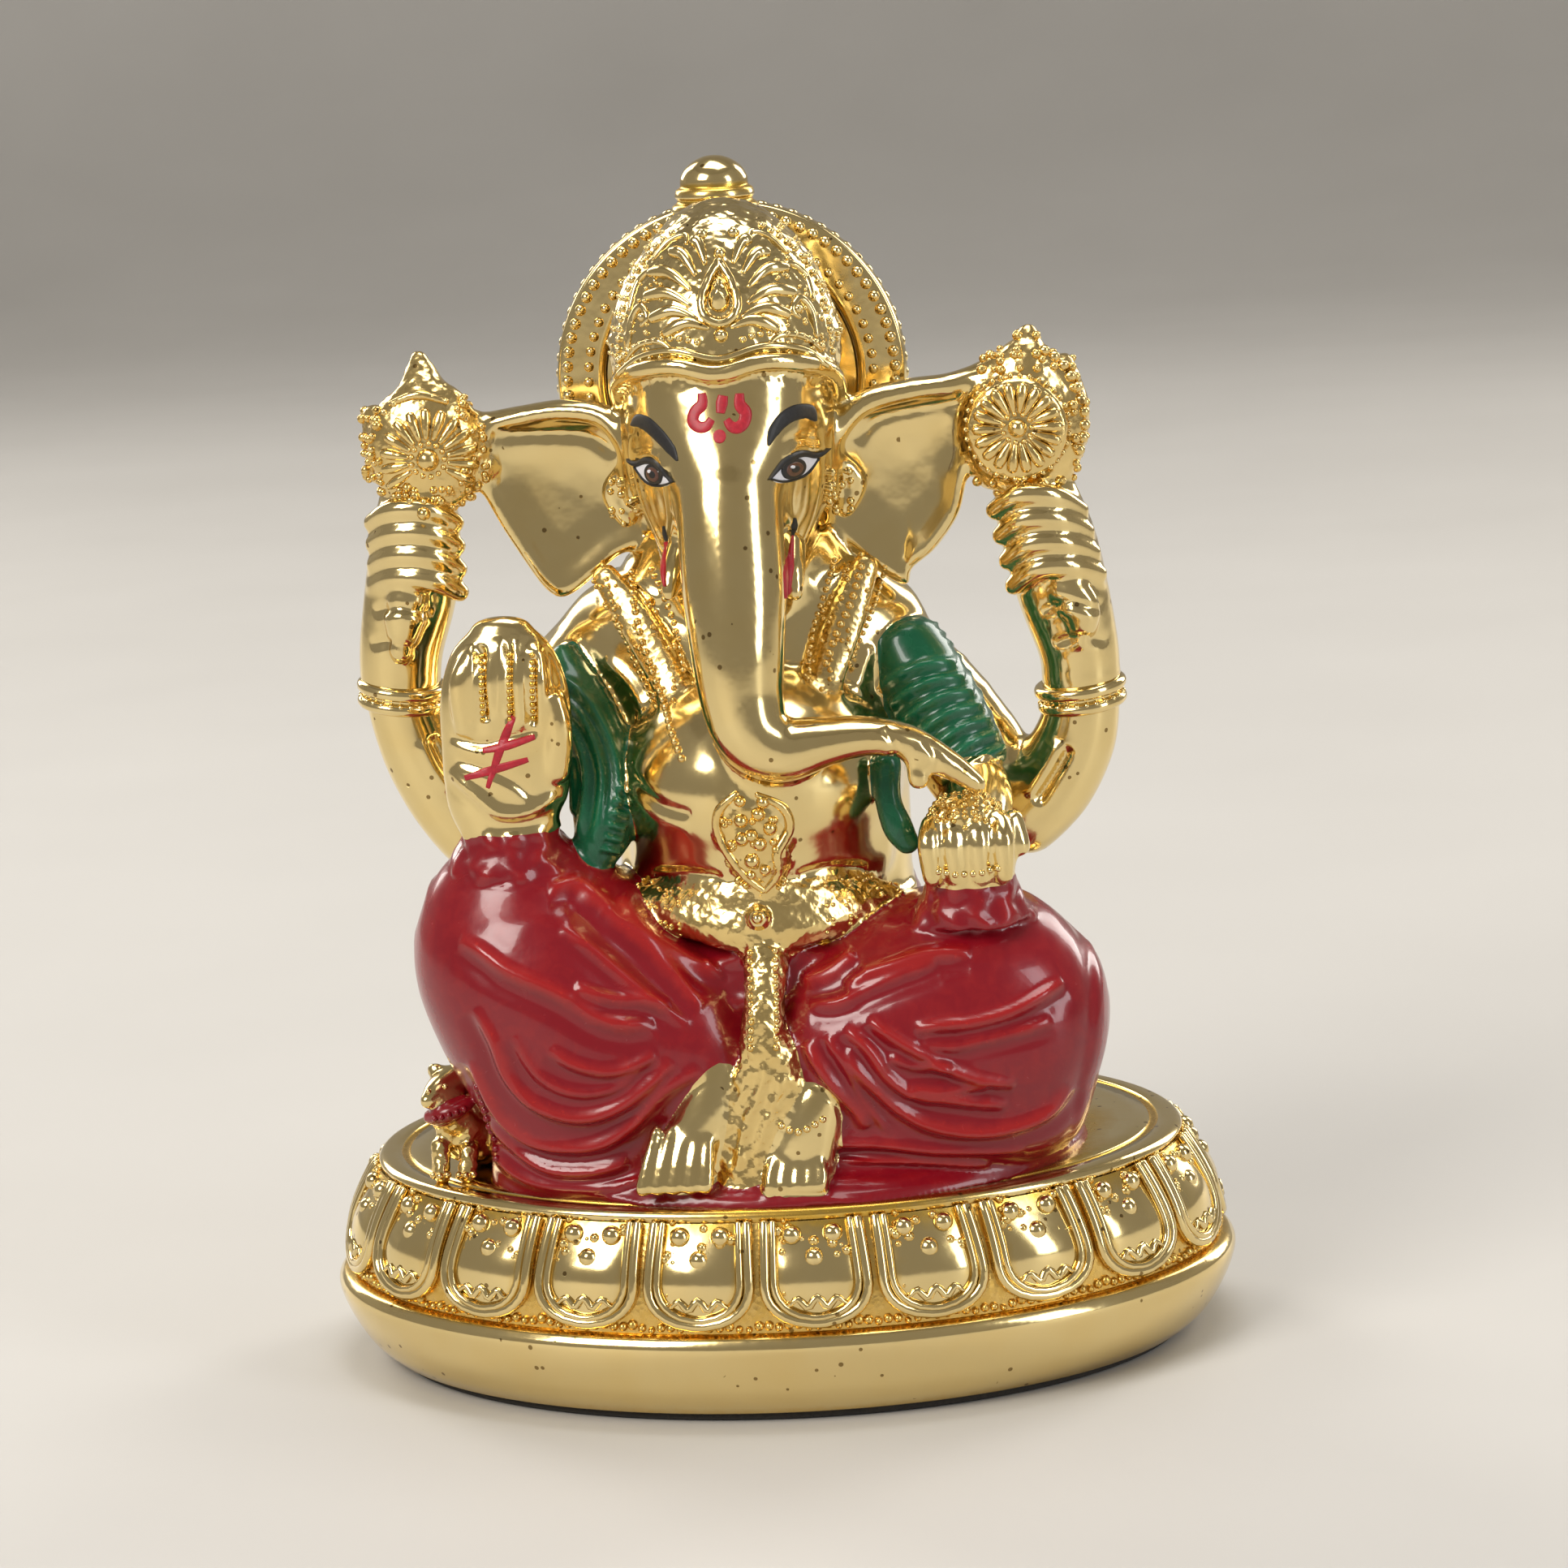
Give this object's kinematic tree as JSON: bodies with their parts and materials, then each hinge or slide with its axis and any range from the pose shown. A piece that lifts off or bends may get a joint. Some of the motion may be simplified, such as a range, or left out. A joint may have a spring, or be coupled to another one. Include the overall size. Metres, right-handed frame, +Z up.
{
  "type": "ganesha idol",
  "caption": "Small seated four-armed elephant-headed deity figure on an oval lotus base, gold plated with red and green enamel cloth.",
  "frame": {"origin": "centre of the bounding box, at the bottom of the felt pad", "axes": "+Z up; the figure faces -Y; +X is the viewer's right, which is the figure's own left"},
  "size_m": [0.092, 0.066, 0.12],
  "materials": {
    "pad": "thin black felt pad under the base",
    "gold": "bright pale gold plating over cast resin, glossy",
    "gold_deep": "the same plating over fine granular relief, warmer in the hollows",
    "red_enamel": "glossy translucent crimson enamel over the plating",
    "green_enamel": "glossy dark green enamel over the plating"
  },
  "bodies": {
    "root": {"base_pad": "pad", "base_rim": "gold", "lotus_band": "gold_deep", "lotus_petals": "gold", "plateau": "gold", "seat_cloth": "red_enamel", "hips": "red_enamel", "right_leg": "red_enamel", "left_leg": "red_enamel", "centre_pleat": "gold_deep", "right_foot": "gold", "left_foot": "gold", "waistband": "gold_deep", "belt_buckle": "gold", "torso": "gold", "belly": "gold", "chest_garlands": "gold_deep", "belly_pendant": "gold_deep", "head": "gold", "trunk": "gold", "tusks": "gold", "right_ear": "gold", "left_ear": "gold", "crown": "gold_deep", "crown_band": "gold", "crown_jewel": "gold", "crown_leaves": "gold", "crown_beads": "gold", "halo": "gold", "halo_beads": "gold", "finial": "gold", "right_upper_arm": "gold", "right_forearm": "gold", "right_bangle": "gold", "right_rear_hand": "gold", "right_emblem": "gold_deep", "left_upper_arm": "gold", "left_forearm": "gold", "left_bangle": "gold", "left_rear_hand": "gold", "left_emblem": "gold_deep", "blessing_arm": "gold", "blessing_hand": "gold", "blessing_cuff": "red_enamel", "offering_arm": "gold", "offering_hand": "gold", "offering_cuff": "red_enamel", "sweet": "gold", "right_shawl": "green_enamel", "left_shawl": "green_enamel", "shawl_tail": "green_enamel", "mouse_body": "gold", "mouse_head": "gold", "mouse_scarf": "red_enamel"}
  },
  "joints": []
}
